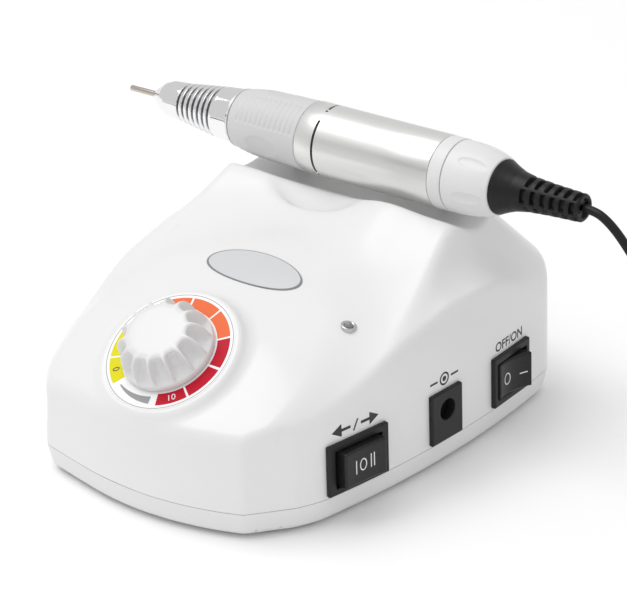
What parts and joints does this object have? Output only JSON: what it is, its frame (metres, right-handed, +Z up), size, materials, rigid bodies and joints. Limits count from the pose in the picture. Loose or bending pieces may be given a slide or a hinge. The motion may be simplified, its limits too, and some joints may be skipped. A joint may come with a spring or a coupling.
{
  "type": "nail drill machine",
  "caption": "Desktop nail drill: a low control unit with speed dial, side rocker switches and motor socket, and a corded handpiece resting across its rear cradle.",
  "frame": {"origin": "Centre of the object's bounding box seen from above, without the free cord and its plug, on the table plane under the rubber feet.", "axes": "+X to the control panel's side, along the handpiece towards its cord; -Y to the dial at the front; +Z up"},
  "size_m": [0.3114, 0.1965, 0.1052],
  "materials": {
    "shell_white": "satin white moulding",
    "base_white": "fine matt moulding",
    "knob_white": "satin",
    "plate_print": "printed ring",
    "badge": "smooth",
    "black_plastic": "fine texture",
    "black_rubber": "matt",
    "steel": "machined",
    "chrome": "polished",
    "aluminium": "satin turned",
    "grey_plastic": "fine texture",
    "brass": "plated",
    "led": "clear lens",
    "board": "solder mask",
    "component_black": "moulded",
    "relay_blue": "moulded",
    "laminations": "varnished stack",
    "winding_tape": "wound tape",
    "magnet": "sintered",
    "copper": "enamelled"
  },
  "bodies": {
    "base": {"lower_shell": "base_white", "upper_shell": "shell_white", "shell_screws": "steel", "rubber_feet": "black_rubber", "dial_plate": "plate_print", "potentiometer_body": "steel", "potentiometer_nut": "steel", "badge_plate": "badge", "led_lens": "led", "led_holder": "chrome", "direction_switch_body": "black_plastic", "direction_terminals": "brass", "power_switch_body": "black_plastic", "power_terminals": "brass", "motor_socket": "black_plastic", "socket_liner": "brass", "mains_inlet": "black_plastic", "inlet_pins": "brass", "main_board": "board", "board_screws": "steel", "filter_capacitor": "component_black", "bridge_rectifier": "component_black", "direction_relay": "relay_blue", "heat_sink": "aluminium", "speed_regulator": "component_black", "transformer_core": "laminations", "transformer_winding": "winding_tape", "transformer_strap": "steel", "strap_screws": "steel", "cord_run": "black_rubber", "cord_coil": "black_rubber", "plug_body": "black_plastic", "plug_pin": "chrome"},
    "dial": {"speed_knob": "knob_white", "potentiometer_shaft": "steel"},
    "direction_switch": {"direction_rocker": "black_plastic"},
    "power_switch": {"power_rocker": "black_plastic"},
    "handpiece": {"spindle_housing": "steel", "front_bearing": "steel", "rear_bearing": "steel", "barrel": "aluminium", "motor_can": "steel", "motor_magnets": "magnet", "motor_end_cap": "component_black", "motor_brushes": "magnet", "tail_ring": "grey_plastic", "tail_cap": "grey_plastic", "strain_relief": "black_rubber"},
    "chuck": {"nose_cone": "chrome", "front_grip": "grey_plastic"},
    "spindle_set": {"spindle": "steel", "collet": "steel", "drive_coupling": "component_black", "motor_rotor": "copper"},
    "bit": {"bit_shank": "steel"}
  },
  "joints": [
    {"name": "knob_turn", "type": "hinge", "parent": "base", "child": "dial", "pos_m": [0.00544, -0.0608, 0.054], "axis": [0, 0.5255, -0.8508], "range_deg": [0, 280]},
    {"name": "direction_rock", "type": "hinge", "parent": "base", "child": "direction_switch", "pos_m": [0.06449, -0.0358, 0.0212], "axis": [0, 0, 1], "range_deg": [-9, 9]},
    {"name": "power_rock", "type": "hinge", "parent": "base", "child": "power_switch", "pos_m": [0.06774, 0.04606, 0.0212], "axis": [0, 0, 1], "range_deg": [0, 24]},
    {"name": "handpiece_lift", "type": "slide", "parent": "base", "child": "handpiece", "axis": [-0.0244, -0.0005, 0.9997], "range_m": [0, 0.05]},
    {"name": "chuck_twist", "type": "hinge", "parent": "handpiece", "child": "chuck", "pos_m": [-0.03874, 0.04447, 0.08992], "axis": [0.9995, 0.0209, 0.0244], "range_deg": [0, 45]},
    {"name": "spindle_spin", "type": "hinge", "parent": "handpiece", "child": "spindle_set", "pos_m": [-0.04174, 0.04441, 0.08985], "axis": [0.9995, 0.0209, 0.0244], "continuous": true},
    {"name": "bit_pull", "type": "slide", "parent": "spindle_set", "child": "bit", "axis": [-0.9995, -0.0209, -0.0244], "range_m": [0, 0.03]}
  ]
}
